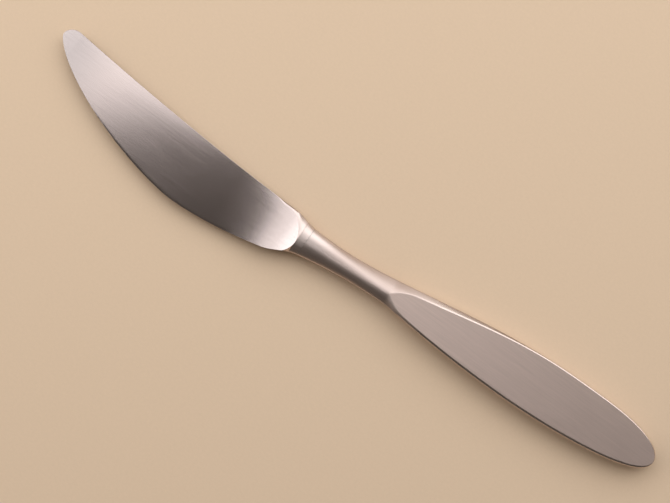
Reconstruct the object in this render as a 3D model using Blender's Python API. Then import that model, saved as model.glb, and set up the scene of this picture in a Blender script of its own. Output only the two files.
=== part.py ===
"""A table knife: a forged blade with its bolster and tang, set in a hollow handle of two stamped shells.

Lengths are in metres. While the pieces are shaped, x runs along the knife from the joint at the neck,
negative to the tip and positive to the butt, y runs from the cutting edge to the spine, and z is
measured from the knife's middle plane. The finished knife lies on the back face of its handle.
"""

import bmesh
import bpy
import numpy as np

# Joints between the pieces
CLEARANCE = 0.0003
NECK_SOLDER_THICKNESS = 0.0004
SEAM_BRAZE_THICKNESS = 0.0004

# Blade outline: distances forward of the neck joint, heights above and depths below the knife's axis
BLADE_LENGTH = 0.0923
TIP_HEIGHT = 0.0049
TIP_CORNER_LENGTH = 0.0039
SPINE_TIP_HEIGHT = 0.0080
SPINE_HEEL_HEIGHT = 0.0032
BELLY_DISTANCE = 0.0395
BELLY_DEPTH = 0.01576
HEEL_DISTANCE = 0.0097
HEEL_DEPTH = 0.0114
SHOULDER_DISTANCE = 0.0080
SHOULDER_LENGTH = 0.0090

# Blade thickness
SPINE_HEEL_THICKNESS = 0.0019
SPINE_TIP_THICKNESS = 0.0012
EDGE_THICKNESS = 0.0004
TIP_THINNING_WIDTH = 0.0080

# Bolster: the crest is the rounded line where the blade's ground face ends, above a hollow ramp
CREST_DISTANCE = 0.0025
CREST_DEPTH = 0.0046
CREST_SPINE_LENGTH = 0.0068
CREST_EDGE_LENGTH = 0.0021
RAMP_LENGTH = 0.0240
NECK_THICKNESS = 0.0062

# Tang and the cement that holds it
TANG_LENGTH = 0.0550
TANG_END_DIAMETER = 0.0015
CEMENT_BED = 0.0005
CEMENT_PAST_TANG = 0.0050

# Handle outline: distances behind the neck joint, the butt's two curves measured from its end
HANDLE_LENGTH = 0.1180
NECK_HEIGHT = 0.0018
NECK_DEPTH = 0.0072
NECK_LOW_DISTANCE = 0.0085
WAIST_DISTANCE = 0.0300
WAIST_DEPTH = 0.0039
GRIP_HEIGHT = 0.01155
GRIP_DEPTH = 0.0059
BUTT_HEIGHT = 0.0045
BUTT_TOP_LENGTH = 0.0227
BUTT_BOTTOM_LENGTH = 0.0490

# Handle section: a flat facet front and back, between rounded side walls
HANDLE_THICKNESS = 0.0065
SHELL_WALL = 0.0008
FACET_DISTANCE = 0.0281
FACET_OPENING_LENGTH = 0.0080
FACET_SHIFT = -0.0008
SIDE_WALL_WIDTH = 0.0002
SIDE_WALL_FRONT_WIDTH = 0.0018
SIDE_WALL_FADE_LENGTH = 0.0530

# Start and end powers of the eased curves
SPINE_CURVE = (1.62, 1.0)
TIP_CURVE = (2.0, 0.5)
BELLY_CURVE = (1.5, 0.7)
HEEL_POWER = 1.8
NECK_POWER = 1.83
WAIST_CURVE = (1.05, 2.6)
GRIP_CURVE = (1.65, 2.7)
FACET_CURVE = (0.8, 2.2)
BUTT_TOP_CURVE = (2.5, 0.45)
BUTT_BOTTOM_CURVE = (1.72, 0.43)
RAMP_POWER = 2.0

# Section of the bolster and the neck, on the spine's side and the cutting edge's, and of the butt: the power
# of its curve, and the share of its height that stands upright at its edge
BOLSTER_SECTION = np.array([[3.6, 0.42], [2.3, 0.42]])
NECK_SECTION = np.array([[1.75, 0.16], [2.0, 0.60]])
BUTT_SECTION = np.array([3.0, 0.05])
MOST_CREASE_SHARE = 0.98

# Steps of the meshes
ARC_STEPS = 4
FACE_STEPS = 6
TIP_RIBS = 20
BELLY_RIBS = 7
RAMP_RIBS = 5
CREST_RIBS = 9
BOLSTER_RIBS = 3
NECK_RIBS = 9
FACET_RIBS = 6
GRIP_RIBS = 7
BUTT_RIBS = 14
TANG_RIBS = 5
LEAST_RIB_GAP = 0.00005
MERGE_DISTANCE = 0.0000001
SHARP_ANGLE = np.radians(30)

NECK_JOINT = NECK_SOLDER_THICKNESS / 2 + CLEARANCE
SEAM_JOINT = SEAM_BRAZE_THICKNESS / 2 + CLEARANCE
CREST_START = -CREST_DISTANCE - CREST_SPINE_LENGTH
RAMP_START = -CREST_DISTANCE - RAMP_LENGTH
GRIP_TOP = HANDLE_LENGTH - BUTT_TOP_LENGTH
GRIP_BOTTOM = HANDLE_LENGTH - BUTT_BOTTOM_LENGTH


def ease(along, start, end):
    """A curve from 0 to 1: flatter at its start for a larger start power, and at its end likewise."""
    along = min(max(along, 0.0), 1.0)
    return 1 - (1 - along**start) ** end


def smooth(along):
    along = min(max(along, 0.0), 1.0)
    return along * along * (3 - 2 * along)


def blend(low, high, share):
    return low + (high - low) * share


def spine(x):
    run = BLADE_LENGTH - TIP_CORNER_LENGTH - HEEL_DISTANCE
    height = blend(SPINE_HEEL_HEIGHT, SPINE_TIP_HEIGHT, ease((-x - HEEL_DISTANCE) / run, *SPINE_CURVE))
    corner = 1 - (BLADE_LENGTH + x) / TIP_CORNER_LENGTH
    return blend(height, TIP_HEIGHT, ease(corner, *TIP_CURVE))


def cutting_edge(x):
    if x < -BELLY_DISTANCE:
        ahead = (-x - BELLY_DISTANCE) / (BLADE_LENGTH - BELLY_DISTANCE)
        return blend(-BELLY_DEPTH, TIP_HEIGHT, ease(ahead, *BELLY_CURVE))
    behind = (x + BELLY_DISTANCE) / (BELLY_DISTANCE - HEEL_DISTANCE)
    return blend(-BELLY_DEPTH, -HEEL_DEPTH, behind**HEEL_POWER)


def handle_top(x):
    if x < GRIP_TOP:
        along = (x - NECK_LOW_DISTANCE) / (GRIP_TOP - NECK_LOW_DISTANCE)
        return blend(NECK_HEIGHT, GRIP_HEIGHT, ease(along, *GRIP_CURVE))
    return blend(GRIP_HEIGHT, BUTT_HEIGHT, ease((x - GRIP_TOP) / BUTT_TOP_LENGTH, *BUTT_TOP_CURVE))


def handle_bottom(x):
    if x < WAIST_DISTANCE:
        return blend(-WAIST_DEPTH, -NECK_DEPTH, (1 - x / WAIST_DISTANCE) ** NECK_POWER)
    if x < GRIP_BOTTOM:
        along = (x - WAIST_DISTANCE) / (GRIP_BOTTOM - WAIST_DISTANCE)
        return blend(-WAIST_DEPTH, -GRIP_DEPTH, ease(along, *WAIST_CURVE))
    return blend(-GRIP_DEPTH, BUTT_HEIGHT, ease((x - GRIP_BOTTOM) / BUTT_BOTTOM_LENGTH, *BUTT_BOTTOM_CURVE))


def outline(x):
    """The lowest and highest y of the knife at x. The blade runs into the neck over the heel and shoulder."""
    heel = smooth(1 + x / HEEL_DISTANCE)
    shoulder = smooth((x + SHOULDER_DISTANCE) / SHOULDER_LENGTH)
    bottom = cutting_edge(x) if heel == 0 else handle_bottom(x)
    top = spine(x) if shoulder == 0 else handle_top(x)
    if 0 < heel < 1:
        bottom = blend(cutting_edge(x), bottom, heel)
    if 0 < shoulder < 1:
        top = blend(spine(x), top, shoulder)
    return bottom, top


def middle(x):
    return sum(outline(x)) / 2


def half_width(x):
    bottom, top = outline(x)
    return (top - bottom) / 2


def facet_settled(x):
    """0 where the facet starts and 1 where its side walls have their last width."""
    return max(smooth((x - FACET_DISTANCE) / SIDE_WALL_FADE_LENGTH), smooth((x - GRIP_TOP) / BUTT_TOP_LENGTH))


def crown_shift(x):
    return FACET_SHIFT * smooth(x / FACET_DISTANCE) * (1 - facet_settled(x))


def crown(x):
    """The line along the top of the bolster and the neck, which ends where the facet starts."""
    return middle(x) + crown_shift(x)


def half_height(x):
    return blend(NECK_THICKNESS, HANDLE_THICKNESS, smooth(x / FACET_DISTANCE)) / 2


def section_curve(x, side):
    """The power and the upright share of the bar's section, on the spine's side (0) or the edge's (1)."""
    curve = blend(BOLSTER_SECTION[side], NECK_SECTION[side], smooth(x / FACET_DISTANCE))
    return blend(curve, BUTT_SECTION, facet_settled(x))


def crease_share(wall_width, half_width):
    """How far from the crown to the silhouette a side wall's crease lies."""
    return min(1 - wall_width / max(half_width, MERGE_DISTANCE), MOST_CREASE_SHARE)


def side_wall(silhouette, crease, height, share, rim, curve):
    """Points from the rim up an upright edge, then over to a crease at this share. Ends are plan points."""
    power, upright = curve
    start = min(abs(share) ** power + (1 - rim / height) / (1 - upright), 1) ** (1 / power)
    shares = np.linspace(start, share, ARC_STEPS + 1)
    outward = (shares - share) / (1 - share)
    plan = crease + outward[:, None] * (silhouette - crease)
    heights = height * (1 - (1 - upright) * (np.abs(shares) ** power - abs(share) ** power))
    return np.vstack([[*plan[0], rim], np.column_stack([plan, heights])])


def across(x, y):
    """0 at the cutting edge and 1 at the spine."""
    bottom, top = outline(x)
    return min(max((y - bottom) / max(top - bottom, MERGE_DISTANCE), 0), 1)


def blade_half_thickness(x, y):
    bottom, top = outline(x)
    taper = (-x - HEEL_DISTANCE) / (BLADE_LENGTH - HEEL_DISTANCE)
    back = blend(SPINE_HEEL_THICKNESS, SPINE_TIP_THICKNESS, min(max(taper, 0), 1)) / 2
    back = blend(EDGE_THICKNESS / 2, back, min((top - bottom) / TIP_THINNING_WIDTH, 1))
    return blend(EDGE_THICKNESS / 2, back, across(x, y))


def bar_height(x, y):
    """How high the bolster's rounded bar is at this place."""
    bottom, top = outline(x)
    silhouette, side = (top, 0) if y > crown(x) else (bottom, 1)
    share = min(abs(y - crown(x)) / max(abs(silhouette - crown(x)), MERGE_DISTANCE), 1)
    power, upright = section_curve(x, side)
    return half_height(x) * (1 - (1 - upright) * share**power)


def bar_wall(x, silhouette, crease, height):
    """Points up the blade's upright edge, then over the bar, let down to meet the crease at this height."""
    ys = np.linspace(silhouette, crease, ARC_STEPS + 1)
    zs = [bar_height(x, y) + height - bar_height(x, crease) for y in ys]
    return np.vstack([[x, silhouette, 0], np.column_stack([np.full(len(ys), x), ys, zs])])


def crest_ends(x):
    """The lower and upper y of the blade's ground face at x."""
    bottom, top = outline(x)
    past_spine = min(max((x - CREST_START) / CREST_SPINE_LENGTH, 0), 1)
    past_edge = min(max(1 + (x + CREST_DISTANCE) / CREST_EDGE_LENGTH, 0), 1)
    upper = blend(-CREST_DEPTH, top, np.sqrt(1 - past_spine**2))
    lower = blend(-CREST_DEPTH, bottom, np.sqrt(1 - past_edge**2))
    return lower, upper


def face_height(x, y):
    """The ground face of the blade: its own taper, and the hollow ramp that rises level to the crest."""
    share = min(max((x - RAMP_START) / RAMP_LENGTH, 0), 1)
    return blend(blade_half_thickness(x, y), bar_height(-CREST_DISTANCE, -CREST_DEPTH), share**RAMP_POWER)


def blade_half_section(x):
    """The front half of the blade or its bolster at x, from the spine side to the cutting edge."""
    bottom, top = outline(x)
    if x < -CREST_DISTANCE:
        lower, upper = crest_ends(x)
        ys = np.linspace(upper, lower, FACE_STEPS + 1)
        zs = [face_height(x, y) for y in ys]
    else:
        lower = upper = blend(-CREST_DEPTH, crown(x), smooth((x + CREST_DISTANCE) / FACET_DISTANCE))
        ys = np.full(FACE_STEPS + 1, upper)
        zs = [bar_height(x, upper)] * (FACE_STEPS + 1)
    upper_wall = bar_wall(x, top, upper, zs[0])
    lower_wall = bar_wall(x, bottom, lower, zs[-1])
    face = np.column_stack([np.full(len(ys), x), ys, zs])
    return np.vstack([upper_wall[:-1], face, lower_wall[-2::-1]])


def handle_ribs(start):
    """Places along the handle, closer together where the facet opens and round the butt."""
    quarter = np.linspace(0, np.pi / 2, FACET_RIBS + 1)
    opening = FACET_DISTANCE + FACET_OPENING_LENGTH * (1 - np.cos(quarter))
    neck = np.linspace(start, FACET_DISTANCE, NECK_RIBS)
    grip = np.linspace(opening[-1], GRIP_TOP, 2 * GRIP_RIBS)
    butt = GRIP_TOP + BUTT_TOP_LENGTH * np.sin(np.linspace(0, np.pi / 2, BUTT_RIBS + 1))
    return spaced(np.concatenate([neck, opening, grip, [GRIP_BOTTOM], butt]))


def spaced(places):
    places = np.unique(places)
    return places[np.concatenate([np.diff(places) > LEAST_RIB_GAP, [True]])]


def inward(ribs):
    """Plan points of the two silhouettes, and the directions into the handle, square to the butt's curve."""
    top = np.array([[x, outline(x)[1]] for x in ribs])
    bottom = np.array([[x, outline(x)[0]] for x in ribs])
    if ribs[-1] < HANDLE_LENGTH:
        return top, bottom, np.tile([0.0, -1.0], (len(ribs), 1)), np.tile([0.0, 1.0], (len(ribs), 1))
    around = np.gradient(np.vstack([top, bottom[-2::-1]]), axis=0)
    normals = np.column_stack([around[:, 1], -around[:, 0]])
    normals /= np.linalg.norm(normals, axis=1)[:, None]
    at_butt = np.array([[smooth((x - GRIP_BOTTOM) / BUTT_TOP_LENGTH)] for x in ribs])
    from_top = blend(np.array([0.0, -1.0]), normals[: len(ribs)], at_butt)
    from_bottom = blend(np.array([0.0, 1.0]), normals[: len(ribs) - 2 : -1], at_butt)
    return top, bottom, from_top, from_bottom


def side_widths(x):
    """How far in from the two silhouettes the facet's creases lie, or the crown where there is no facet."""
    bottom, top = outline(x)
    opened = ease((x - FACET_DISTANCE) / FACET_OPENING_LENGTH, *FACET_CURVE)
    upper = blend(SIDE_WALL_FRONT_WIDTH, SIDE_WALL_WIDTH, facet_settled(x))
    return blend(top - crown(x), upper, opened), blend(crown(x) - bottom, SIDE_WALL_WIDTH, opened)


def handle_half_sections(ribs, inset, rim):
    """The front half of the handle at each rib, moved in from its skin, from one rim to the other."""
    sections = []
    for x, top, bottom, down, up in zip(ribs, *inward(ribs)):
        height = half_height(x) - inset
        upper, lower = (max(width - inset, SIDE_WALL_WIDTH) for width in side_widths(x))
        room = half_width(min(x, GRIP_TOP)) - inset
        upper_share = crease_share(upper, room - crown_shift(x))
        lower_share = crease_share(lower, room + crown_shift(x))
        upper_ends = (top + inset * down, top + (inset + upper) * down)
        lower_ends = (bottom + inset * up, bottom + (inset + lower) * up)
        upper_wall = side_wall(*upper_ends, height, upper_share, rim, section_curve(x, 0))
        lower_wall = side_wall(*lower_ends, height, lower_share, rim, section_curve(x, 1))
        facet = np.linspace(upper_wall[-1], lower_wall[-1], FACE_STEPS + 1)
        sections.append(np.vstack([upper_wall[:-1], facet, lower_wall[-2::-1]]))
    return sections


def whole(half_section):
    """A closed ring from a front half section and its mirror image behind the middle plane."""
    return np.vstack([half_section, half_section[-2:0:-1] * [1, 1, -1]])


def oval(x, y, half_width, half_thickness, steps):
    angles = np.arange(steps) * 2 * np.pi / steps
    return np.column_stack(
        [np.full(steps, x), y + half_width * np.cos(angles), half_thickness * np.sin(angles)]
    )


def tang_line(x):
    """The straight axis of the tang, through the middle of the neck joint and of the waist."""
    return blend(middle(0), middle(WAIST_DISTANCE), x / WAIST_DISTANCE)


def tang_rings(start, end, clearance):
    """The tang's sections, as large at the neck as the cement bed and the shells leave room for."""
    taken = SHELL_WALL + 2 * CLEARANCE + CEMENT_BED
    ribs = np.linspace(0, TANG_LENGTH, GRIP_RIBS * TANG_RIBS)
    root_width = min(half_width(x) - abs(middle(x) - tang_line(x)) for x in ribs) - taken
    root_thickness = min(NECK_THICKNESS, HANDLE_THICKNESS) / 2 - taken
    steps = 2 * (2 * ARC_STEPS + FACE_STEPS + 2)
    rings = []
    for x in np.linspace(start, end, TANG_RIBS):
        taper = min(max(x / TANG_LENGTH, 0), 1)
        wide = blend(root_width, TANG_END_DIAMETER / 2, taper) + clearance
        thick = blend(root_thickness, TANG_END_DIAMETER / 2, taper) + clearance
        rings.append(oval(x, tang_line(x), wide, thick, steps))
    return rings


def loft(name, rings, material, caps=(True, True)):
    """One closed object skinned over rings of points, with flat caps on the ends that need them."""
    shape = bmesh.new()
    rows = [[shape.verts.new(point) for point in ring] for ring in rings]
    for row, after in zip(rows, rows[1:]):
        for i in range(len(row)):
            j = (i + 1) % len(row)
            shape.faces.new((row[i], row[j], after[j], after[i]))
    for row, capped in zip((rows[0], rows[-1]), caps):
        if capped:
            shape.faces.new(row)
    bmesh.ops.remove_doubles(shape, verts=shape.verts, dist=MERGE_DISTANCE)
    bmesh.ops.recalc_face_normals(shape, faces=shape.faces)
    mesh = bpy.data.meshes.new(name)
    shape.to_mesh(mesh)
    shape.free()
    mesh.shade_smooth()
    mesh.set_sharp_from_angle(angle=SHARP_ANGLE)
    mesh.materials.append(material)
    piece = bpy.data.objects.new(name, mesh)
    bpy.context.collection.objects.link(piece)
    return piece


def finish(name, colour, roughness, metallic):
    material = bpy.data.materials.new(name)
    material.use_nodes = True
    shader = material.node_tree.nodes["Principled BSDF"]
    shader.inputs["Base Color"].default_value = (*colour, 1)
    shader.inputs["Roughness"].default_value = roughness
    shader.inputs["Metallic"].default_value = metallic
    return material


def make_blade(steel):
    """Tip to bolster, then the step down to the tang, in one forging."""
    tip = -BELLY_DISTANCE - (BLADE_LENGTH - BELLY_DISTANCE) * np.sin(np.linspace(0, np.pi / 2, TIP_RIBS + 1))
    belly = np.linspace(-BELLY_DISTANCE, RAMP_START, BELLY_RIBS)
    ramp = np.linspace(RAMP_START, CREST_START, RAMP_RIBS)
    turn = np.sin(np.linspace(0, np.pi / 2, CREST_RIBS + 1))
    crest = CREST_START + CREST_SPINE_LENGTH * turn
    edge_crest = -CREST_DISTANCE - CREST_EDGE_LENGTH * (1 - turn[::2])
    bolster = np.linspace(-CREST_DISTANCE, -NECK_JOINT, BOLSTER_RIBS)
    ribs = spaced(np.concatenate([tip, belly, ramp, crest, edge_crest, bolster]))
    rings = [whole(blade_half_section(x)) for x in ribs]
    return loft("blade", rings + tang_rings(-NECK_JOINT, TANG_LENGTH, 0), steel, (False, True))


def make_shell(name, side, steel):
    """One stamped half of the handle: its skin, its inside one wall away, and the rim between them."""
    ribs = handle_ribs(NECK_JOINT)
    skin = handle_half_sections(ribs, 0, SEAM_JOINT)
    inside = handle_half_sections(ribs, SHELL_WALL, SEAM_JOINT)
    rings = [np.vstack([out, back[::-1]]) * [1, 1, side] for out, back in zip(skin, inside)]
    return loft(name, rings, steel, (True, False))


def make_seam_braze(braze):
    """The filler between the two rims: from the neck along the spine side, round the butt and back."""
    top, bottom, down, up = inward(handle_ribs(NECK_JOINT))
    outer = np.vstack([top, bottom[-2::-1]])
    inner = outer + SHELL_WALL * np.vstack([down, up[-2::-1]])
    half = SEAM_BRAZE_THICKNESS / 2
    rings = []
    for out, back in zip(outer, inner):
        rings.append([(*out, half), (*out, -half), (*back, -half), (*back, half)])
    return loft("seam_braze", rings, braze)


def make_neck_solder(solder):
    """The ring between the bolster's rear face and the mouth of the shells."""
    outer, inner = (whole(handle_half_sections([0], inset, 0)[0]) for inset in (0, SHELL_WALL))
    half = np.array([NECK_SOLDER_THICKNESS / 2, 0, 0])
    rings = [inner - half, outer - half, outer + half, inner + half, inner - half]
    return loft("neck_solder", rings, solder, (False, False))


def make_cement(cement):
    """The bed round the tang: a blind socket, open towards the bolster, inside a fill of the shells."""
    front = CLEARANCE - NECK_JOINT
    end = TANG_LENGTH + CEMENT_PAST_TANG
    socket = tang_rings(front, TANG_LENGTH + CLEARANCE, CLEARANCE)
    ribs = handle_ribs(front)
    ribs = spaced(np.append(ribs[ribs < end], end))
    fill = [whole(half) for half in handle_half_sections(ribs, SHELL_WALL + CLEARANCE, 0)]
    return loft("tang_cement", socket[::-1] + fill, cement)


def build():
    for old in list(bpy.data.objects):
        bpy.data.objects.remove(old, do_unlink=True)
    pieces = [
        make_blade(finish("brushed_steel", (0.62, 0.59, 0.57), 0.28, 1.0)),
        make_shell("handle_front_shell", 1, finish("satin_steel_front", (0.58, 0.55, 0.53), 0.34, 1.0)),
        make_shell("handle_back_shell", -1, finish("satin_steel_back", (0.58, 0.55, 0.53), 0.34, 1.0)),
        make_seam_braze(finish("silver_braze", (0.66, 0.62, 0.55), 0.35, 1.0)),
        make_neck_solder(finish("tin_solder", (0.55, 0.54, 0.53), 0.40, 1.0)),
        make_cement(finish("grey_cement", (0.36, 0.33, 0.29), 0.90, 0.0)),
    ]
    knife = bpy.data.objects.new("table_knife", None)
    bpy.context.collection.objects.link(knife)
    highest = max(GRIP_HEIGHT, SPINE_TIP_HEIGHT)
    knife.location = (
        (BLADE_LENGTH - HANDLE_LENGTH) / 2,
        (BELLY_DEPTH - highest) / 2,
        max(HANDLE_THICKNESS, NECK_THICKNESS) / 2,
    )
    for piece in pieces:
        piece.parent = knife


build()
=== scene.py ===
"""The looks of a table knife: a brushed blade with its bolster, and a satin handle of two shells.

Lengths are in metres. The pieces are shaped in the knife's own frame, where x runs along the knife from
the joint at the neck, negative to the tip and positive to the butt, y runs from the cutting edge to the
spine, and z is measured from the middle plane.
"""

import bmesh
import bpy
import numpy as np
from mathutils import Matrix, Vector


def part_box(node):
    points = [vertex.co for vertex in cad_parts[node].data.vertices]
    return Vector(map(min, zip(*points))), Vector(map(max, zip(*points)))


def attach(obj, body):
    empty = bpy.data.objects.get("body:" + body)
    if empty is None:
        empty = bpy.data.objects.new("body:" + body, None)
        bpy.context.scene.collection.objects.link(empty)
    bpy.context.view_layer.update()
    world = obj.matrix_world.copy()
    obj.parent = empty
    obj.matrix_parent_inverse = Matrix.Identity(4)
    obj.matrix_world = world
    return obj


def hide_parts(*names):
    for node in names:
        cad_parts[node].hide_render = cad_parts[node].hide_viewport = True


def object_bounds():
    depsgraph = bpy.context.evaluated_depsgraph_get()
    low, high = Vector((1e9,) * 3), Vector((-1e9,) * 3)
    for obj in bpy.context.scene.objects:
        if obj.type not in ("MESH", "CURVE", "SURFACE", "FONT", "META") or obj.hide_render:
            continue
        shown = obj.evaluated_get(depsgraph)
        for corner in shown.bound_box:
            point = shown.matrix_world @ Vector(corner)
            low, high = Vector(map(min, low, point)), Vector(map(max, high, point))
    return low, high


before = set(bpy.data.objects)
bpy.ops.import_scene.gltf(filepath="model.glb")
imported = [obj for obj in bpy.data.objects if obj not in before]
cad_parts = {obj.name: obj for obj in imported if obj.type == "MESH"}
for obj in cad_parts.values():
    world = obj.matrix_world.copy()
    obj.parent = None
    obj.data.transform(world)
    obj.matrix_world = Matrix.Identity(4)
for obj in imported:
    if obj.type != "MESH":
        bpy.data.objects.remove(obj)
cad_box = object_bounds()

# Blade outline: distances forward of the neck joint, heights above and depths below the knife's axis
BLADE_LENGTH = 0.0923
TIP_HEIGHT = 0.0049
TIP_CORNER_LENGTH = 0.0039
SPINE_TIP_HEIGHT = 0.0080
SPINE_HEEL_HEIGHT = 0.0032
BELLY_DISTANCE = 0.0395
BELLY_DEPTH = 0.01576
HEEL_DISTANCE = 0.0097
HEEL_DEPTH = 0.0114
SHOULDER_DISTANCE = 0.0080
SHOULDER_LENGTH = 0.0090

# Blade thickness and the ground bevel along its cutting edge
SPINE_HEEL_THICKNESS = 0.0019
SPINE_TIP_THICKNESS = 0.0012
EDGE_THICKNESS = 0.0004
TIP_THINNING_WIDTH = 0.0080
BEVEL_LAND = 0.00022
BEVEL_SLOPE = 0.35
BEVEL_BLEND = 0.00003
BEVEL_TIP_DISTANCE = 0.0500
BEVEL_FADE_LENGTH = 0.0250
BEVEL_RAMP_LENGTH = 0.0080

# Bolster: the crest is the rounded line where the blade's ground face ends, above a hollow ramp
CREST_DISTANCE = 0.0025
CREST_DEPTH = 0.0046
CREST_SPINE_LENGTH = 0.0068
CREST_EDGE_LENGTH = 0.0021
RAMP_LENGTH = 0.0240
NECK_THICKNESS = 0.0062

# Tang
TANG_LENGTH = 0.0550
TANG_END_DIAMETER = 0.0015
TANG_ROOM = 0.0019

# Handle outline: distances behind the neck joint, the butt's two curves measured from its end
HANDLE_LENGTH = 0.1180
NECK_HEIGHT = 0.0018
NECK_DEPTH = 0.0072
NECK_LOW_DISTANCE = 0.0085
WAIST_DISTANCE = 0.0300
WAIST_DEPTH = 0.0039
GRIP_HEIGHT = 0.01155
GRIP_DEPTH = 0.0059
BUTT_HEIGHT = 0.0045
BUTT_TOP_LENGTH = 0.0227
BUTT_BOTTOM_LENGTH = 0.0490

# Handle section: a flat facet front and back, between rounded side walls
HANDLE_THICKNESS = 0.0065
SHELL_WALL = 0.0008
FACET_DISTANCE = 0.0281
FACET_OPENING_LENGTH = 0.0080
FACET_SHIFT = -0.0008
SIDE_WALL_WIDTH = 0.0002
SIDE_WALL_FRONT_WIDTH = 0.0018
SIDE_WALL_FADE_LENGTH = 0.0530

# Start and end powers of the eased curves
SPINE_CURVE = (1.62, 1.0)
TIP_CURVE = (2.0, 0.5)
BELLY_CURVE = (1.5, 0.7)
HEEL_POWER = 1.8
NECK_POWER = 1.83
WAIST_CURVE = (1.05, 2.6)
GRIP_CURVE = (1.65, 2.7)
FACET_CURVE = (0.8, 2.2)
BUTT_TOP_CURVE = (2.5, 0.45)
BUTT_BOTTOM_CURVE = (1.72, 0.43)
RAMP_POWER = 2.0

# Section of the bolster and the neck, on the spine's side and the cutting edge's, and of the butt: the power
# of its curve, and the share of its height that stands upright at its edge
BOLSTER_SECTION = np.array([[3.6, 0.42], [2.3, 0.42]])
NECK_SECTION = np.array([[1.75, 0.16], [2.0, 0.60]])
BUTT_SECTION = np.array([3.0, 0.05])
MOST_CREASE_SHARE = 0.98

# Worn corners: crisp along the blade, softer at the tip, where the ramp meets the spine and round the facet.
# The face falls away a little along the spine, and each upright edge is broken at its top.
SPINE_EASE_WIDTH = 0.0040
SPINE_EASE_DROP = 0.00002
BLADE_CORNER = 0.00004
TIP_CORNER = 0.00016
TIP_WEAR_LENGTH = 0.0400
CREST_CORNER = 0.00080
CREST_CORNER_DISTANCE = 0.0150
CREST_CORNER_OPENING = 0.0040
HANDLE_CORNER = 0.00024
HANDLE_LOWER_CORNER = 0.00070
EDGE_BREAK = 0.00005
MOST_WALL_ROUNDED = 0.7
MOST_FACE_ROUNDED = 0.4

# The fine joints that show between the finished pieces
JOINT_LINE = 0.00008
JOINT_FILL = 0.00006
JOINT_BREAK = 0.00003

# Steps of the meshes: up a wall, round a corner and across a face. A wall's upright edge has points of its
# own. Then the samples along lines and the ribs along the knife.
BLADE_STEPS = (7, 5, 46)
SKIN_STEPS = (12, 6, 18)
INSIDE_STEPS = (6, 2, 6)
UPRIGHT_POINTS = 2
LINE_SAMPLES = 60
EDGE_LINE_SAMPLES = 600
TIP_RIBS = 110
BELLY_RIBS = 40
RAMP_RIBS = 34
CREST_RIBS = 40
EDGE_CREST_RIBS = 14
BOLSTER_RIBS = 8
NECK_RIBS = 36
OPENING_RIBS = 26
GRIP_RIBS = 44
BUTT_RIBS = 54
TANG_RIBS = 24
LEAST_RIB_GAP = 0.00001
MERGE_DISTANCE = 0.0000001
SHARP_ANGLE = np.radians(42)

CREST_START = -CREST_DISTANCE - CREST_SPINE_LENGTH
RAMP_START = -CREST_DISTANCE - RAMP_LENGTH
GRIP_TOP = HANDLE_LENGTH - BUTT_TOP_LENGTH
GRIP_BOTTOM = HANDLE_LENGTH - BUTT_BOTTOM_LENGTH
KNIFE_PLACE = np.array(
    [
        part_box("blade")[0].x + BLADE_LENGTH,
        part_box("blade")[0].y + BELLY_DEPTH,
        (cad_box[0].z + cad_box[1].z) / 2,
    ]
)

# The photograph's frame, and where it looks
PHOTO_PIXELS = 670
PIXEL_SIZE = 0.0002897
KNIFE_TURN = np.radians(36)
VIEW_CENTRE = (0.0084, 0.0)
CAMERA_DISTANCE = 0.36
SENSOR_WIDTH_MM = 36

# Stage: the floor, the soft light above the photograph's upper side, and the weak fills under it and at both
# sides. Each edge of a light is how far it lies past the middle, then how high.
FLOOR_DROP = 0.0001
FLOOR_SIZE = 6.0
LIGHT_NEAR_EDGE = (0.094, 0.75)
LIGHT_FAR_EDGE = (0.62, 0.25)
LIGHT_WIDTH = 1.9
LIGHT_SHIFT = 0.04
LIGHT_LEVEL = 1.80
LOW_LIGHT_EDGE = (0.80, 0.06)
LOW_LIGHT_LEVEL = 0.45
SIDE_LIGHT_REACH = 0.80
SIDE_LIGHT_HEIGHT = 0.80
SIDE_LIGHT_SIZE = 0.70
SIDE_LIGHT_LEVELS = (0.90, 0.50)
SIDE_LIGHT_TINT = (1.0, 0.84, 0.68)
WORLD_LEVEL = 0.10
WORLD_TINT = (1.0, 0.90, 0.80)

# Finishes of the steel, each a red, green and blue tint and a roughness, with the lengths over which they
# change, and how far the brush lines draw reflections out
GROUND_FINISH = np.array([0.515, 0.437, 0.418, 0.15])
# Painted shade: a darker tint over the tip, with a slightly rougher finish, fading in from this distance over
# this length
TIP_PAINTED_SHADE_FINISH = np.array([0.39, 0.343, 0.334, 0.17])
TIP_SHADE_DISTANCE = 0.0700
TIP_SHADE_LENGTH = 0.0200
# Painted highlight: a lighter tint on the ground face just before the crest, fading in from this distance
# over this length
CREST_PAINTED_HIGHLIGHT_FINISH = np.array([0.63, 0.55, 0.53, 0.15])
CREST_HIGHLIGHT_DISTANCE = 0.0076
CREST_HIGHLIGHT_LENGTH = 0.0040
# The bolster is rubbed smoother, and its lighter tint is a painted highlight that fades into the neck over
# this length
BOLSTER_POLISH_AND_HIGHLIGHT = np.array([0.70, 0.595, 0.555, 0.38])
BOLSTER_HIGHLIGHT_LENGTH = 0.0130
NECK_FINISH = np.array([0.61, 0.50, 0.455, 0.46])
NECK_RIM_FINISH = np.array([0.61, 0.50, 0.455, 0.28])
# Painted light: the facet's lighter tint, fading along the handle to the darker tint at the butt, which is
# painted shade
FACET_PAINTED_LIGHT_FINISH = np.array([0.725, 0.586, 0.530, 0.50])
BUTT_PAINTED_SHADE_FINISH = np.array([0.61, 0.493, 0.448, 0.50])
EDGE_FINISH = np.array([0.67, 0.56, 0.51, 0.20])
EDGE_POLISH_LENGTH = 0.0200
BOLSTER_FADE_LENGTH = 0.0020
BLADE_ANISOTROPY = 0.44
HANDLE_ANISOTROPY = 0.4

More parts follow.
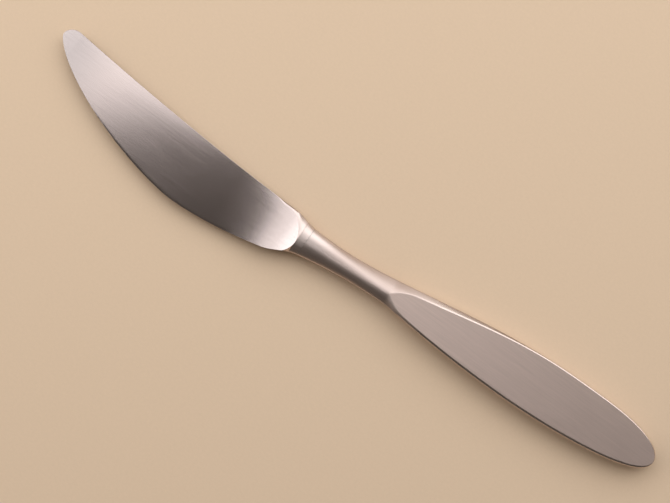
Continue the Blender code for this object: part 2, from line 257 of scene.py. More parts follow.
# Textures: each noise is the size of its features along x, y and z, its detail and its roughness, and each
# bump is its strength and its height
BLADE_GRAIN = ((0.009, 0.00016, 0.00016), 3.0, 0.6)
BLADE_STREAKS = ((0.036, 0.0006, 0.0006), 2.0, 0.55)
HANDLE_GRAIN = ((0.006, 0.00016, 0.00016), 3.0, 0.6)
HANDLE_STREAKS = ((0.024, 0.0006, 0.0006), 2.0, 0.55)
CLOUDS = ((0.014, 0.006, 0.006), 3.0, 0.55)
SCRATCHES = ((0.0060, 0.00016, 0.0060), 0.0, 0.55)
BLOTCHES = ((0.0012, 0.0006, 0.0006), 3.0, 0.55)
SAND = ((0.0005, 0.0005, 0.0005), 4.0, 0.7)
TOOTH = ((0.0009, 0.0007, 0.0009), 4.0, 0.6)
STEEL_BUMP = (0.05, 0.00002)
FILLER_BUMP = (0.2, 0.00003)
CEMENT_BUMP = (0.6, 0.0002)
CARD_BUMP = (0.15, 0.00006)

# How the steel's textures are mixed: shares of the brush lines, the polish and the bump, and the levels of
# noise that are spread over a range of shades or of roughness
SCRATCH_TURN = np.radians(9)
SCRATCH_LEVELS = (0.76, 0.80)
GRAIN_SHARE = 0.6
STREAK_SHARE = 0.4
LINE_LEVELS = (0.3, 0.7)
LINE_SHADES = (0.93, 1.07)
LINE_POLISH = 0.6
CLOUD_POLISH = 0.4
SCRATCH_POLISH = 0.25
POLISH_LEVELS = (0.25, 0.75)
POLISH_RANGE = (0.9, 1.1)
SCRATCH_DEPTH = 0.4

# Filler metal, cement and card
BRAZE_TINT = (0.60, 0.56, 0.50)
BRAZE_ROUGHNESS = 0.40
SOLDER_TINT = (0.52, 0.50, 0.48)
SOLDER_ROUGHNESS = 0.45
BLOTCH_SHADE = 0.8
BLOTCH_LEVELS = (0.3, 0.7)
BLOTCH_ROUGHNESS = 0.1
CEMENT_TINTS = ((0.26, 0.24, 0.21), (0.46, 0.42, 0.37))
CEMENT_LEVELS = (0.2, 0.8)
CEMENT_ROUGHNESS = (0.8, 0.98)
CARD_TINTS = ((0.74, 0.575, 0.42), (0.80, 0.62, 0.455))
CARD_ROUGHNESS = 0.9
CARD_SHINE = 0.1


def ease(along, start, end):
    """A curve from 0 to 1: flatter at its start for a larger start power, and at its end likewise."""
    along = min(max(along, 0.0), 1.0)
    return 1 - (1 - along**start) ** end


def smooth(along):
    along = min(max(along, 0.0), 1.0)
    return along * along * (3 - 2 * along)


def blend(low, high, share):
    return low + (high - low) * share


def spine(x):
    run = BLADE_LENGTH - TIP_CORNER_LENGTH - HEEL_DISTANCE
    height = blend(SPINE_HEEL_HEIGHT, SPINE_TIP_HEIGHT, ease((-x - HEEL_DISTANCE) / run, *SPINE_CURVE))
    corner = 1 - (BLADE_LENGTH + x) / TIP_CORNER_LENGTH
    return blend(height, TIP_HEIGHT, ease(corner, *TIP_CURVE))


def cutting_edge(x):
    if x < -BELLY_DISTANCE:
        ahead = (-x - BELLY_DISTANCE) / (BLADE_LENGTH - BELLY_DISTANCE)
        return blend(-BELLY_DEPTH, TIP_HEIGHT, ease(ahead, *BELLY_CURVE))
    behind = (x + BELLY_DISTANCE) / (BELLY_DISTANCE - HEEL_DISTANCE)
    return blend(-BELLY_DEPTH, -HEEL_DEPTH, behind**HEEL_POWER)


def handle_top(x):
    if x < GRIP_TOP:
        along = (x - NECK_LOW_DISTANCE) / (GRIP_TOP - NECK_LOW_DISTANCE)
        return blend(NECK_HEIGHT, GRIP_HEIGHT, ease(along, *GRIP_CURVE))
    return blend(GRIP_HEIGHT, BUTT_HEIGHT, ease((x - GRIP_TOP) / BUTT_TOP_LENGTH, *BUTT_TOP_CURVE))


def handle_bottom(x):
    if x < WAIST_DISTANCE:
        return blend(-WAIST_DEPTH, -NECK_DEPTH, (1 - x / WAIST_DISTANCE) ** NECK_POWER)
    if x < GRIP_BOTTOM:
        along = (x - WAIST_DISTANCE) / (GRIP_BOTTOM - WAIST_DISTANCE)
        return blend(-WAIST_DEPTH, -GRIP_DEPTH, ease(along, *WAIST_CURVE))
    return blend(-GRIP_DEPTH, BUTT_HEIGHT, ease((x - GRIP_BOTTOM) / BUTT_BOTTOM_LENGTH, *BUTT_BOTTOM_CURVE))


def outline(x):
    """The lowest and highest y of the knife at x. The blade runs into the neck over the heel and shoulder."""
    heel = smooth(1 + x / HEEL_DISTANCE)
    shoulder = smooth((x + SHOULDER_DISTANCE) / SHOULDER_LENGTH)
    bottom = cutting_edge(x) if heel == 0 else handle_bottom(x)
    top = spine(x) if shoulder == 0 else handle_top(x)
    if 0 < heel < 1:
        bottom = blend(cutting_edge(x), bottom, heel)
    if 0 < shoulder < 1:
        top = blend(spine(x), top, shoulder)
    return bottom, top


def middle(x):
    return sum(outline(x)) / 2


def half_width(x):
    bottom, top = outline(x)
    return (top - bottom) / 2


def facet_settled(x):
    """0 where the facet starts and 1 where its side walls have their last width."""
    return max(smooth((x - FACET_DISTANCE) / SIDE_WALL_FADE_LENGTH), smooth((x - GRIP_TOP) / BUTT_TOP_LENGTH))


def crown_shift(x):
    return FACET_SHIFT * smooth(x / FACET_DISTANCE) * (1 - facet_settled(x))


def crown(x):
    """The line along the top of the bolster and the neck, which ends where the facet starts."""
    return middle(x) + crown_shift(x)


def half_height(x):
    return blend(NECK_THICKNESS, HANDLE_THICKNESS, smooth(x / FACET_DISTANCE)) / 2


def facet_opened(x):
    """0 where the facet starts and 1 where it has its full width."""
    return ease((x - FACET_DISTANCE) / FACET_OPENING_LENGTH, *FACET_CURVE)


def section_curve(x, side):
    """The power and the upright share of the bar's section, on the spine's side (0) or the edge's (1)."""
    curve = blend(BOLSTER_SECTION[side], NECK_SECTION[side], smooth(x / FACET_DISTANCE))
    return blend(curve, BUTT_SECTION, facet_settled(x))


def crease_share(wall_width, room):
    """How far from the crown to the silhouette a side wall's crease lies."""
    return min(1 - wall_width / max(room, MERGE_DISTANCE), MOST_CREASE_SHARE)


def side_wall(silhouette, crease, height, share, rim, curve):
    """Points from the rim up an upright edge, then over to a crease at this share. Ends are plan points."""
    power, upright = curve
    start = min(abs(share) ** power + (1 - rim / height) / (1 - upright), 1) ** (1 / power)
    shares = np.linspace(start, share, LINE_SAMPLES)
    outward = (shares - share) / (1 - share)
    plan = crease + outward[:, None] * (silhouette - crease)
    heights = height * (1 - (1 - upright) * (np.abs(shares) ** power - abs(share) ** power))
    return np.vstack([[*plan[0], rim], np.column_stack([plan, heights])])


def across(x, y):
    """0 at the cutting edge and 1 at the spine."""
    bottom, top = outline(x)
    return min(max((y - bottom) / max(top - bottom, MERGE_DISTANCE), 0), 1)


def blade_half_thickness(x, y):
    bottom, top = outline(x)
    taper = (-x - HEEL_DISTANCE) / (BLADE_LENGTH - HEEL_DISTANCE)
    back = blend(SPINE_HEEL_THICKNESS, SPINE_TIP_THICKNESS, min(max(taper, 0), 1)) / 2
    back = blend(EDGE_THICKNESS / 2, back, min((top - bottom) / TIP_THINNING_WIDTH, 1))
    return blend(EDGE_THICKNESS / 2, back, across(x, y))


def bar_height(x, y):
    """How high the bolster's rounded bar is at this place."""
    bottom, top = outline(x)
    silhouette, side = (top, 0) if y > crown(x) else (bottom, 1)
    share = min(abs(y - crown(x)) / max(abs(silhouette - crown(x)), MERGE_DISTANCE), 1)
    power, upright = section_curve(x, side)
    return half_height(x) * (1 - (1 - upright) * share**power)


def bar_wall(x, silhouette, crease, height):
    """Points up the blade's upright edge, then over the bar, let down to meet the crease at this height."""
    ys = np.linspace(silhouette, crease, LINE_SAMPLES)
    zs = [bar_height(x, y) + height - bar_height(x, crease) for y in ys]
    return np.vstack([[x, silhouette, 0], np.column_stack([np.full(len(ys), x), ys, zs])])


def crest_ends(x):
    """The lower and upper y of the blade's ground face at x."""
    bottom, top = outline(x)
    past_spine = min(max((x - CREST_START) / CREST_SPINE_LENGTH, 0), 1)
    past_edge = min(max(1 + (x + CREST_DISTANCE) / CREST_EDGE_LENGTH, 0), 1)
    upper = blend(-CREST_DEPTH, top, np.sqrt(1 - past_spine**2))
    lower = blend(-CREST_DEPTH, bottom, np.sqrt(1 - past_edge**2))
    return lower, upper


def face_height(x, y):
    """The ground face of the blade: its own taper, and the hollow ramp that rises level to the crest."""
    share = min(max((x - RAMP_START) / RAMP_LENGTH, 0), 1)
    return blend(blade_half_thickness(x, y), bar_height(-CREST_DISTANCE, -CREST_DEPTH), share**RAMP_POWER)


def bevelled(x, ys, zs):
    """The face's heights with the narrow bevel along the cutting edge, fading to the tip and the ramp."""
    apart = np.hypot(EDGE_LINE[:, :1] - x, EDGE_LINE[:, 1:] - ys)
    ground = BEVEL_LAND / 2 + BEVEL_SLOPE * apart.min(axis=0)
    lowest = (zs + ground - np.hypot(zs - ground, BEVEL_BLEND)) / 2
    at_tip = smooth((-x - BEVEL_TIP_DISTANCE) / BEVEL_FADE_LENGTH)
    at_ramp = smooth((x - RAMP_START) / BEVEL_RAMP_LENGTH)
    return blend(lowest, zs, max(at_tip, at_ramp))


def line_length(points):
    return float(np.linalg.norm(np.diff(points, axis=0), axis=1).sum())


def along_line(points, distances):
    """Points at these distances along a line of points."""
    run = np.concatenate([[0], np.cumsum(np.linalg.norm(np.diff(points, axis=0), axis=1))])
    return np.column_stack([np.interp(distances, run, column) for column in points.T])


def rounded_corner(start, corner, end, steps):
    """Points on the curve that takes the place of a corner, without its two ends."""
    share = np.linspace(0, 1, steps + 2)[1:-1, None]
    return blend(blend(start, corner, share), blend(corner, end, share), share)


def gathered(start, end, steps):
    """Distances from start to end, closer together near both."""
    return blend(start, end, (1 - np.cos(np.linspace(0, np.pi, steps + 1))) / 2)


def wall_places(wall, end, steps):
    """Distances along a wall up to its end, either side of the corner at the top of its upright edge."""
    edge = float(np.linalg.norm(wall[1] - wall[0]))
    broken = min(EDGE_BREAK, edge / 2)
    return np.concatenate([[0, min(edge - broken, end)], np.linspace(min(edge + broken, end), end, steps)])


def half_section(upper_wall, face, lower_wall, corners, steps):
    """A wall, a face and a wall joined into one line, with the two creases between them rounded."""
    wall_steps, corner_steps, face_steps = steps
    upper, flat, lower = (line_length(line) for line in (upper_wall, face, lower_wall))
    first = min(corners[0], upper * MOST_WALL_ROUNDED, flat * MOST_FACE_ROUNDED)
    last = min(corners[1], lower * MOST_WALL_ROUNDED, flat * MOST_FACE_ROUNDED)
    start = along_line(upper_wall, wall_places(upper_wall, upper - first, wall_steps))
    between = along_line(face, gathered(first, flat - last, face_steps))
    end = along_line(lower_wall[::-1], wall_places(lower_wall[::-1], lower - last, wall_steps))[::-1]
    into = rounded_corner(start[-1], face[0], between[0], corner_steps)
    out = rounded_corner(between[-1], face[-1], end[0], corner_steps)
    return np.vstack([start, into, between, out, end])


def section_part(place, steps):
    """Where a point lies on a half section: 0 on its face, to -1 at its first rim and 1 at its last."""
    wall_steps, corner_steps, face_steps = steps
    start = UPRIGHT_POINTS + wall_steps + corner_steps
    past = place - start - face_steps
    return (min(place - start, 0) + max(past, 0)) / start


def spine_corner(x):
    """How far the crease along the spine is rounded."""
    worn = blend(BLADE_CORNER, TIP_CORNER, smooth((-x - BELLY_DISTANCE) / TIP_WEAR_LENGTH))
    return blend(worn, CREST_CORNER, smooth((x + CREST_CORNER_DISTANCE) / CREST_CORNER_OPENING))


def blade_half_section(x):
    """The front half of the blade or its bolster at x, from the spine side to the cutting edge."""
    bottom, top = outline(x)
    if x < -CREST_DISTANCE:
        lower, upper = crest_ends(x)
        ys = gathered(upper, lower, LINE_SAMPLES)
        eased = np.clip(1 - (top - ys) / SPINE_EASE_WIDTH, 0, 1) ** 2
        zs = bevelled(x, ys, np.array([face_height(x, y) for y in ys]) - SPINE_EASE_DROP * eased)
    else:
        lower = upper = blend(-CREST_DEPTH, crown(x), smooth((x + CREST_DISTANCE) / FACET_DISTANCE))
        ys = np.full(LINE_SAMPLES, upper)
        zs = np.full(LINE_SAMPLES, bar_height(x, upper))
    upper_wall = bar_wall(x, top, upper, zs[0])
    lower_wall = bar_wall(x, bottom, lower, zs[-1])
    face = np.column_stack([np.full(len(ys), x), ys, zs])
    return half_section(upper_wall, face, lower_wall[::-1], (spine_corner(x), BLADE_CORNER), BLADE_STEPS)


def handle_ribs(start):
    """Places along the handle, closer together where the facet opens and round the butt."""
    quarter = np.linspace(0, np.pi / 2, OPENING_RIBS + 1)
    opening = FACET_DISTANCE + FACET_OPENING_LENGTH * (1 - np.cos(quarter))
    neck = np.linspace(start + JOINT_BREAK, FACET_DISTANCE, NECK_RIBS)
    grip = np.linspace(opening[-1], GRIP_TOP, GRIP_RIBS)
    butt = GRIP_TOP + BUTT_TOP_LENGTH * np.sin(np.linspace(0, np.pi / 2, BUTT_RIBS + 1))
    return spaced(np.concatenate([[start], neck, opening, grip, [GRIP_BOTTOM], butt]))


def spaced(places):
    places = np.unique(places)
    return places[np.concatenate([np.diff(places) > LEAST_RIB_GAP, [True]])]


def inward(ribs):
    """Plan points of the two silhouettes, and the directions into the handle, square to the butt's curve."""
    top = np.array([[x, outline(x)[1]] for x in ribs])
    bottom = np.array([[x, outline(x)[0]] for x in ribs])
    around = np.gradient(np.vstack([top, bottom[-2::-1]]), axis=0)
    normals = np.column_stack([around[:, 1], -around[:, 0]])
    normals /= np.linalg.norm(normals, axis=1)[:, None]
    at_butt = np.array([[smooth((x - GRIP_BOTTOM) / BUTT_TOP_LENGTH)] for x in ribs])
    from_top = blend(np.array([0.0, -1.0]), normals[: len(ribs)], at_butt)
    from_bottom = blend(np.array([0.0, 1.0]), normals[: len(ribs) - 2 : -1], at_butt)
    return top, bottom, from_top, from_bottom


def side_widths(x):
    """How far in from the two silhouettes the facet's creases lie, or the crown where there is no facet."""
    bottom, top = outline(x)
    upper = blend(SIDE_WALL_FRONT_WIDTH, SIDE_WALL_WIDTH, facet_settled(x))
    opened = facet_opened(x)
    return blend(top - crown(x), upper, opened), blend(crown(x) - bottom, SIDE_WALL_WIDTH, opened)


def handle_half_section(x, plan, inset, rim, steps):
    """The front half of the handle at one rib, moved in from its skin, from one rim to the other."""
    top, bottom, down, up = plan
    height = half_height(x) - inset
    upper, lower = (max(width - inset, SIDE_WALL_WIDTH) for width in side_widths(x))
    room = half_width(min(x, GRIP_TOP)) - inset
    upper_share = crease_share(upper, room - crown_shift(x))
    lower_share = crease_share(lower, room + crown_shift(x))
    upper_ends = (top + inset * down, top + (inset + upper) * down)
    lower_ends = (bottom + inset * up, bottom + (inset + lower) * up)
    upper_wall = side_wall(*upper_ends, height, upper_share, rim, section_curve(x, 0))
    lower_wall = side_wall(*lower_ends, height, lower_share, rim, section_curve(x, 1))
    face = np.linspace(upper_wall[-1], lower_wall[-1], LINE_SAMPLES)
    return half_section(upper_wall, face, lower_wall[::-1], (HANDLE_CORNER, HANDLE_LOWER_CORNER), steps)


def broken_rims(section, down, up):
    """The skin's line with its two rims taken back a little, so that a fine line shows at the seam."""
    lifted = section.copy()
    lifted[[0, -1], 2] += JOINT_BREAK
    first = section[0] + JOINT_BREAK * np.append(down, 0)
    last = section[-1] + JOINT_BREAK * np.append(up, 0)
    return np.vstack([first, lifted, last])


def whole(half):
    """A closed ring from a front half section and its mirror image behind the middle plane."""
    return np.vstack([half, half[-2:0:-1] * [1, 1, -1]])


def tang_line(x):
    """The straight axis of the tang, through the middle of the neck joint and of the waist."""
    return blend(middle(0), middle(WAIST_DISTANCE), x / WAIST_DISTANCE)


def tang_rings(shoulder):
    """The tang's sections, from the bolster's last ring, each an oval seen under the same angles."""
    places = np.linspace(0, TANG_LENGTH, LINE_SAMPLES)
    root_width = min(half_width(x) - abs(middle(x) - tang_line(x)) for x in places) - TANG_ROOM
    root_thickness = NECK_THICKNESS / 2 - TANG_ROOM
    start = shoulder[0, 0]
    angles = np.arctan2(shoulder[:, 2] / root_thickness, (shoulder[:, 1] - tang_line(start)) / root_width)
    rings = []
    for x in np.linspace(start, TANG_LENGTH, TANG_RIBS):
        taper = min(max(x / TANG_LENGTH, 0), 1)
        wide = blend(root_width, TANG_END_DIAMETER / 2, taper)
        thick = blend(root_thickness, TANG_END_DIAMETER / 2, taper)
        rings.append(oval(x, tang_line(x), wide, thick, angles))
    return rings


def oval(x, y, wide, thick, angles):
    return np.column_stack([np.full(len(angles), x), y + wide * np.cos(angles), thick * np.sin(angles)])


def blade_finish(x, turn, count):
    """The finish at one point of the blade's rings: ground, darkened towards the tip with painted shade and
    lightened before the crest with a painted highlight, or that of the neck from the crest on.
    """
    half = count // 2 + 1
    wall = section_part(min(turn, 2 * half - 2 - turn), BLADE_STEPS)
    if x >= -CREST_DISTANCE:
        return neck_finish(x, wall)
    start = CREST_START if wall < 0 else -CREST_DISTANCE - CREST_EDGE_LENGTH
    # painted shade: a darker tint towards the tip, with a slightly rougher finish
    ground = blend(GROUND_FINISH, TIP_PAINTED_SHADE_FINISH, smooth((-x - TIP_SHADE_DISTANCE) / TIP_SHADE_LENGTH))
    # painted highlight: a lighter tint on the ground face before the crest
    ground = blend(ground, CREST_PAINTED_HIGHLIGHT_FINISH, smooth((x + CREST_HIGHLIGHT_DISTANCE) / CREST_HIGHLIGHT_LENGTH))
    past = smooth((x - start) / BOLSTER_FADE_LENGTH) if wall else 0
    return blend(ground, neck_finish(x, wall), past)


def neck_finish(x, wall):
    """The satin of the neck: rubbed smoother on the bolster, where a lighter tint paints a highlight, and
    rubbed smoother towards the lower rim.
    """
    # painted highlight: the bolster's lighter tint fades into the neck's
    satin = blend(BOLSTER_POLISH_AND_HIGHLIGHT, NECK_FINISH, smooth(x / BOLSTER_HIGHLIGHT_LENGTH))
    return blend(satin, NECK_RIM_FINISH, smooth(wall))


def shell_finish(x, turn, count):
    """The finish at one point of a shell's rings: the satin facet, lightened with painted light at its front
    and darkened with painted shade towards the butt, or the neck and the polished edges.
    """
    wall = section_part(turn - 1, SKIN_STEPS)
    if wall == 0 and x > FACET_DISTANCE:
        # painted light at the facet's front, fading to painted shade at the butt
        return blend(FACET_PAINTED_LIGHT_FINISH, BUTT_PAINTED_SHADE_FINISH, (x - FACET_DISTANCE) / (HANDLE_LENGTH - FACET_DISTANCE))
    return blend(neck_finish(x, wall), EDGE_FINISH, smooth((x - FACET_DISTANCE) / EDGE_POLISH_LENGTH))


def plain_finish(x, turn, count):
    return NECK_FINISH


def paint(rings, rows, finish, tint, roughness):
    """The finish at each point, kept in the mesh for its material."""
    for ring, row in zip(rings, rows):
        for turn, corner in enumerate(row):
            *colour, rough = finish(ring[0][0], turn, len(row))
            corner[tint] = (*colour, 1)
            corner[roughness] = rough


def skin_over(shape, rows, chart):
    """Faces between the rows of points. Their texture map runs round the rows, then along the piece."""
    count = len(rows[0])
    for line, (row, after) in enumerate(zip(rows, rows[1:])):
        for i in range(count):
            j = (i + 1) % count
            face = shape.faces.new((row[i], row[j], after[j], after[i]))
            corners = ((i, line), (i + 1, line), (i + 1, line + 1), (i, line + 1))
            for loop, (turn, place) in zip(face.loops, corners):
                loop[chart].uv = (turn / count, place / len(rows))


def added(name, data):
    """A new object in the scene."""
    thing = bpy.data.objects.new(name, data)
    bpy.context.scene.collection.objects.link(thing)
    return thing


def loft(name, rings, material, caps, finish=plain_finish):
    """One closed piece skinned over rings of points, with a cap on its first and its last ring if asked."""
    shape = bmesh.new()
    chart = shape.loops.layers.uv.new("round_and_along")
    tint = shape.verts.layers.float_color.new("tint")
    roughness = shape.verts.layers.float.new("roughness")
    rows = [[shape.verts.new(point + KNIFE_PLACE) for point in ring] for ring in rings]
    paint(rings, rows, finish, tint, roughness)
    skin_over(shape, rows, chart)
    for row, capped in zip((rows[0], rows[-1]), caps):
        if capped:
            shape.faces.new(row)
    bmesh.ops.remove_doubles(shape, verts=shape.verts, dist=MERGE_DISTANCE)
    bmesh.ops.recalc_face_normals(shape, faces=shape.faces)
    mesh = bpy.data.meshes.new(name)
    shape.to_mesh(mesh)
    shape.free()
    mesh.shade_smooth()
    mesh.set_sharp_from_angle(angle=SHARP_ANGLE)
    mesh.materials.append(material)
    return added(name, mesh)


def make_blade(steel):
    """Tip to bolster, then the step down to the tang, in one forging."""
    end = -JOINT_LINE / 2
    tip = -BELLY_DISTANCE - (BLADE_LENGTH - BELLY_DISTANCE) * np.sin(np.linspace(0, np.pi / 2, TIP_RIBS + 1))
    belly = np.linspace(-BELLY_DISTANCE, RAMP_START, BELLY_RIBS)
    ramp = np.linspace(RAMP_START, CREST_START, RAMP_RIBS)
    crest = CREST_START + CREST_SPINE_LENGTH * np.sin(np.linspace(0, np.pi / 2, CREST_RIBS + 1))
    edge_turn = np.sin(np.linspace(0, np.pi / 2, EDGE_CREST_RIBS + 1))
    edge_crest = -CREST_DISTANCE - CREST_EDGE_LENGTH * (1 - edge_turn)
    bolster = np.linspace(-CREST_DISTANCE, end - JOINT_BREAK, BOLSTER_RIBS)
    ribs = spaced(np.concatenate([tip, belly, ramp, crest, edge_crest, bolster]))
    rings = [whole(blade_half_section(x)) for x in ribs]
    shoulder = whole(blade_half_section(end))
    axis = np.array([end, middle(end), 0])
    shoulder = blend(shoulder, axis, np.array([0, 1, 1]) * JOINT_BREAK / half_height(end))
    rings += [shoulder, *tang_rings(shoulder)]
    return loft("blade_forging", rings, steel, (False, True), blade_finish)


def make_shell(name, side, steel):
    """One stamped half of the handle: its skin, its inside one wall away, and the rim between them."""
    ribs = handle_ribs(JOINT_LINE / 2)
    rings = []
    for x, *plan in zip(ribs, *inward(ribs)):
        taken = JOINT_BREAK if x == ribs[0] else 0
        skin = handle_half_section(x, plan, taken, JOINT_LINE / 2, SKIN_STEPS)
        inside = handle_half_section(x, plan, SHELL_WALL, JOINT_LINE / 2, INSIDE_STEPS)
        ring = np.vstack([broken_rims(skin, *plan[2:]), inside[::-1]])
        rings.append(ring * [1, 1, side])
    return loft(name, rings, steel, (True, False), shell_finish)


def make_seam(braze):
    """The hairline of filler between the two rims: from the neck along the spine side and round the butt."""
    top, bottom, down, up = inward(handle_ribs(JOINT_LINE / 2))
    outline_points = np.vstack([top, bottom[-2::-1]])
    directions = np.vstack([down, up[-2::-1]])
    outer = outline_points + JOINT_BREAK * directions
    inner = outline_points + SHELL_WALL * directions
    half = JOINT_FILL / 2
    rings = []
    for out, back in zip(outer, inner):
        rings.append(np.array([(*out, half), (*out, -half), (*back, -half), (*back, half)]))
    return loft("seam_line", rings, braze, (True, True))


def make_neck_ring(solder):
    """The hairline of filler between the bolster's rear face and the mouth of the shells."""
    bottom, top = outline(0)
    plan = (np.array([0, top]), np.array([0, bottom]), np.array([0, -1]), np.array([0, 1]))
    outer = whole(handle_half_section(0, plan, JOINT_BREAK, 0, SKIN_STEPS))
    inner = whole(handle_half_section(0, plan, SHELL_WALL, 0, SKIN_STEPS))
    half = np.array([JOINT_FILL / 2, 0, 0])
    rings = [inner - half, outer - half, outer + half, inner + half, inner - half]
    return loft("neck_line", rings, solder, (False, False))


class Nodes:
    """A material's node tree, with short ways to add nodes and links."""

    def __init__(self, name):
        self.material = bpy.data.materials.new(name)
        self.material.use_nodes = True
        self.tree = self.material.node_tree
        self.shader = self.tree.nodes["Principled BSDF"]
        self.place = self.tree.nodes.new("ShaderNodeTexCoord").outputs["Object"]

    def link(self, source, socket):
        self.tree.links.new(source, socket)

    def noise(self, size, detail, roughness, turn=0.0):
        """Noise between 0 and 1 whose features have this size along x, y and z, turned about z."""
        mapping = self.tree.nodes.new("ShaderNodeMapping")
        mapping.vector_type = "TEXTURE"
        mapping.inputs["Rotation"].default_value = (0, 0, turn)
        mapping.inputs["Scale"].default_value = size
        noise = self.tree.nodes.new("ShaderNodeTexNoise")
        noise.inputs["Scale"].default_value = 1
        noise.inputs["Detail"].default_value = detail
        noise.inputs["Roughness"].default_value = roughness
        self.link(self.place, mapping.inputs["Vector"])
        self.link(mapping.outputs["Vector"], noise.inputs["Vector"])
        return noise.outputs["Fac"]

    def ranged(self, source, low, high, to_low, to_high):
        """The source's range from low to high, carried over to another range."""
        node = self.tree.nodes.new("ShaderNodeMapRange")
        for name, value in zip(("From Min", "From Max", "To Min", "To Max"), (low, high, to_low, to_high)):
            node.inputs[name].default_value = value
        self.link(source, node.inputs["Value"])
        return node.outputs["Result"]

    def math(self, operation, first, second):
        node = self.tree.nodes.new("ShaderNodeMath")
        node.operation = operation
        for socket, value in zip(node.inputs, (first, second)):
            if isinstance(value, float):
                socket.default_value = value
            else:
                self.link(value, socket)
        return node.outputs["Value"]

    def weighted(self, *parts):
        """The sum of the sources, each times its share."""
        total, *others = [self.math("MULTIPLY", source, share) for source, share in parts]
        for other in others:
            total = self.math("ADD", total, other)
        return total

    def layer(self, name, output):
        """A value that the mesh carries at its points."""
        node = self.tree.nodes.new("ShaderNodeAttribute")
        node.attribute_name = name
        return node.outputs[output]

    def scaled(self, colour, share):
        node = self.tree.nodes.new("ShaderNodeVectorMath")
        node.operation = "SCALE"
        self.link(colour, node.inputs["Vector"])
        self.link(share, node.inputs["Scale"])
        return node.outputs["Vector"]

    def mix(self, share, low, high):
        """A colour between two colours."""
        node = self.tree.nodes.new("ShaderNodeMix")
        node.data_type = "RGBA"
        node.inputs["A"].default_value = (*low, 1)
        node.inputs["B"].default_value = (*high, 1)
        for socket in node.inputs:
            if socket.name == "Factor" and socket.type == "VALUE":
                self.link(share, socket)
        return next(s for s in node.outputs if s.type == "RGBA")

    def bump(self, height, strength, distance):
        node = self.tree.nodes.new("ShaderNodeBump")
        node.inputs["Strength"].default_value = strength
        node.inputs["Distance"].default_value = distance
        self.link(height, node.inputs["Height"])
        self.link(node.outputs["Normal"], self.shader.inputs["Normal"])

    def brushed(self, anisotropy):
        """Reflections drawn out across the brush lines, which run along the knife."""
        tangent = self.tree.nodes.new("ShaderNodeTangent")
        tangent.direction_type = "UV_MAP"
        tangent.uv_map = "round_and_along"
        self.link(tangent.outputs["Tangent"], self.shader.inputs["Tangent"])
        self.shader.inputs["Anisotropic"].default_value = anisotropy


def steel(name, anisotropy, grain_noise, streak_noise):
    """Steel brushed along the knife: fine grain, broader streaks, a cloudy polish and sparse scratches."""
    nodes = Nodes(name)
    grain, streak, cloud = (nodes.noise(*noise) for noise in (grain_noise, streak_noise, CLOUDS))
    scratch = nodes.ranged(nodes.noise(*SCRATCHES, SCRATCH_TURN), *SCRATCH_LEVELS, 0, 1)
    lines = nodes.weighted((grain, GRAIN_SHARE), (streak, STREAK_SHARE))
    shade = nodes.ranged(lines, *LINE_LEVELS, *LINE_SHADES)
    nodes.link(nodes.scaled(nodes.layer("tint", "Color"), shade), nodes.shader.inputs["Base Color"])
    polish = nodes.weighted((lines, LINE_POLISH), (cloud, CLOUD_POLISH), (scratch, SCRATCH_POLISH))
    polish = nodes.ranged(polish, *POLISH_LEVELS, *POLISH_RANGE)
    roughness = nodes.math("MULTIPLY", nodes.layer("roughness", "Fac"), polish)
    nodes.link(roughness, nodes.shader.inputs["Roughness"])
    nodes.shader.inputs["Metallic"].default_value = 1.0
    nodes.brushed(anisotropy)
    nodes.bump(nodes.math("SUBTRACT", lines, nodes.math("MULTIPLY", scratch, SCRATCH_DEPTH)), *STEEL_BUMP)
    return nodes.material


def filler(name, colour, roughness):
    """Soft filler metal, a little blotchy where it was scraped flush."""
    nodes = Nodes(name)
    blotch = nodes.noise(*BLOTCHES)
    dark = tuple(BLOTCH_SHADE * channel for channel in colour)
    nodes.link(nodes.mix(blotch, dark, colour), nodes.shader.inputs["Base Color"])
    spread = (roughness - BLOTCH_ROUGHNESS, roughness + BLOTCH_ROUGHNESS)
    nodes.link(nodes.ranged(blotch, *BLOTCH_LEVELS, *spread), nodes.shader.inputs["Roughness"])
    nodes.shader.inputs["Metallic"].default_value = 1.0
    nodes.bump(blotch, *FILLER_BUMP)
    return nodes.material


def cement(name):
    """Set cement: sandy, matt and unevenly grey."""
    nodes = Nodes(name)
    sand = nodes.noise(*SAND)
    nodes.link(nodes.mix(sand, *CEMENT_TINTS), nodes.shader.inputs["Base Color"])
    nodes.link(nodes.ranged(sand, *CEMENT_LEVELS, *CEMENT_ROUGHNESS), nodes.shader.inputs["Roughness"])
    nodes.bump(sand, *CEMENT_BUMP)
    return nodes.material


def paper():
    """Plain cream card with a faint tooth."""
    nodes = Nodes("cream_card")
    tooth = nodes.noise(*TOOTH)
    nodes.link(nodes.mix(tooth, *CARD_TINTS), nodes.shader.inputs["Base Color"])
    nodes.shader.inputs["Roughness"].default_value = CARD_ROUGHNESS
    nodes.shader.inputs["Specular IOR Level"].default_value = CARD_SHINE
    nodes.bump(tooth, *CARD_BUMP)
    return nodes.material


def view_axes():
    """The photograph's centre on the knife, and its right, up and out directions, in the frame."""
    right = Vector((np.cos(KNIFE_TURN), np.sin(KNIFE_TURN), 0))
    up = Vector((-np.sin(KNIFE_TURN), np.cos(KNIFE_TURN), 0))
    centre = Vector(KNIFE_PLACE) + Vector((*VIEW_CENTRE, 0))
    return centre, right, up, Vector((0, 0, 1))


def make_camera():
    centre, _, _, out = view_axes()
    data = bpy.data.cameras.new("camera")
    data.sensor_width = SENSOR_WIDTH_MM
    data.lens = SENSOR_WIDTH_MM * CAMERA_DISTANCE / (PHOTO_PIXELS * PIXEL_SIZE)
    camera = added("camera", data)
    camera.location = centre + CAMERA_DISTANCE * out
    camera.rotation_euler = (0, 0, KNIFE_TURN)
    bpy.context.scene.camera = camera


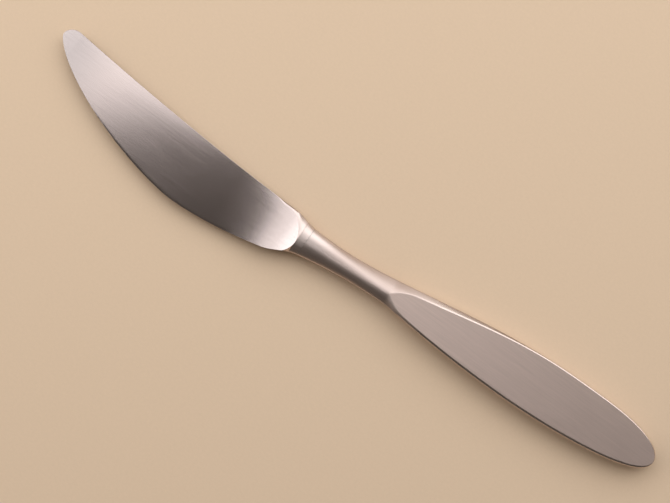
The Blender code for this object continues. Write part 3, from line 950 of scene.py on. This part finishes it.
def make_floor():
    mesh = bpy.data.meshes.new("floor")
    half = FLOOR_SIZE / 2
    level = cad_box[0].z - FLOOR_DROP
    corners = [(-half, -half, level), (half, -half, level), (half, half, level), (-half, half, level)]
    mesh.from_pydata(corners, [], [(0, 1, 2, 3)])
    mesh.materials.append(paper())
    floor = added("floor", mesh)


def soft_box(name, near, far, along, width, level):
    """A flat lamp of this width whose face runs from one edge's middle to the other's."""
    data = bpy.data.lights.new(name, "AREA")
    data.shape = "RECTANGLE"
    data.size, data.size_y = width, (far - near).length
    data.energy = level * np.pi * data.size * data.size_y
    down = (far - near).normalized()
    turn = Matrix((along, down, along.cross(down))).transposed().to_4x4()
    added(name, data).matrix_world = Matrix.Translation((near + far) / 2) @ turn
    return data


def make_lights():
    """A large soft box over the photograph's upper side, a weak one under it, and two left and right."""
    centre, right, up, out = view_axes()
    middle_line = centre + LIGHT_SHIFT * right
    edges = (LIGHT_NEAR_EDGE, LIGHT_FAR_EDGE, LOW_LIGHT_EDGE)
    near, far, low = (middle_line + reach * up + height * out for reach, height in edges)
    soft_box("soft_box", near, far, right, LIGHT_WIDTH, LIGHT_LEVEL)
    soft_box("low_fill", far, low, right, LIGHT_WIDTH, LOW_LIGHT_LEVEL).color = SIDE_LIGHT_TINT
    for name, side, level in zip(("left_fill", "right_fill"), (-1, 1), SIDE_LIGHT_LEVELS):
        low = centre + side * SIDE_LIGHT_REACH * right
        high = low + SIDE_LIGHT_HEIGHT * out
        soft_box(name, high, low, -side * up, SIDE_LIGHT_SIZE, level).color = SIDE_LIGHT_TINT
    world = bpy.data.worlds.new("room")
    world.use_nodes = True
    world.node_tree.nodes["Background"].inputs["Color"].default_value = (*WORLD_TINT, 1)
    world.node_tree.nodes["Background"].inputs["Strength"].default_value = WORLD_LEVEL
    bpy.context.scene.world = world


def dress(piece, slot, *nodes):
    """The finished piece rides on the knife's one body and stands for these nodes."""
    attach(piece, "root")
    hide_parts(*nodes)


# Points along the cutting edge, closer together at the tip, from which the bevel is measured
edge_places = blend(-BLADE_LENGTH, -HEEL_DISTANCE, np.linspace(0, 1, EDGE_LINE_SAMPLES) ** 2)
EDGE_LINE = np.array([[x, cutting_edge(x)] for x in edge_places])

make_camera()
make_floor()
make_lights()
blade_steel = steel("blade_brushed_steel", BLADE_ANISOTROPY, BLADE_GRAIN, BLADE_STREAKS)
handle_steel = steel("handle_satin_steel", HANDLE_ANISOTROPY, HANDLE_GRAIN, HANDLE_STREAKS)
dress(make_blade(blade_steel), "blade_steel", "blade")
dress(make_shell("handle_front_skin", 1, handle_steel), "handle_steel", "handle_front_shell")
dress(make_shell("handle_back_skin", -1, handle_steel), "handle_steel", "handle_back_shell")
braze = filler("seam_braze_metal", BRAZE_TINT, BRAZE_ROUGHNESS)
solder = filler("neck_solder_metal", SOLDER_TINT, SOLDER_ROUGHNESS)
dress(make_seam(braze), "braze", "seam_braze")
dress(make_neck_ring(solder), "solder", "neck_solder")
cement_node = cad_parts["tang_cement"]
cement_node.data.materials.clear()
cement_node.data.materials.append(cement("tang_cement_fill"))

bpy.context.scene.view_settings.view_transform = "Standard"
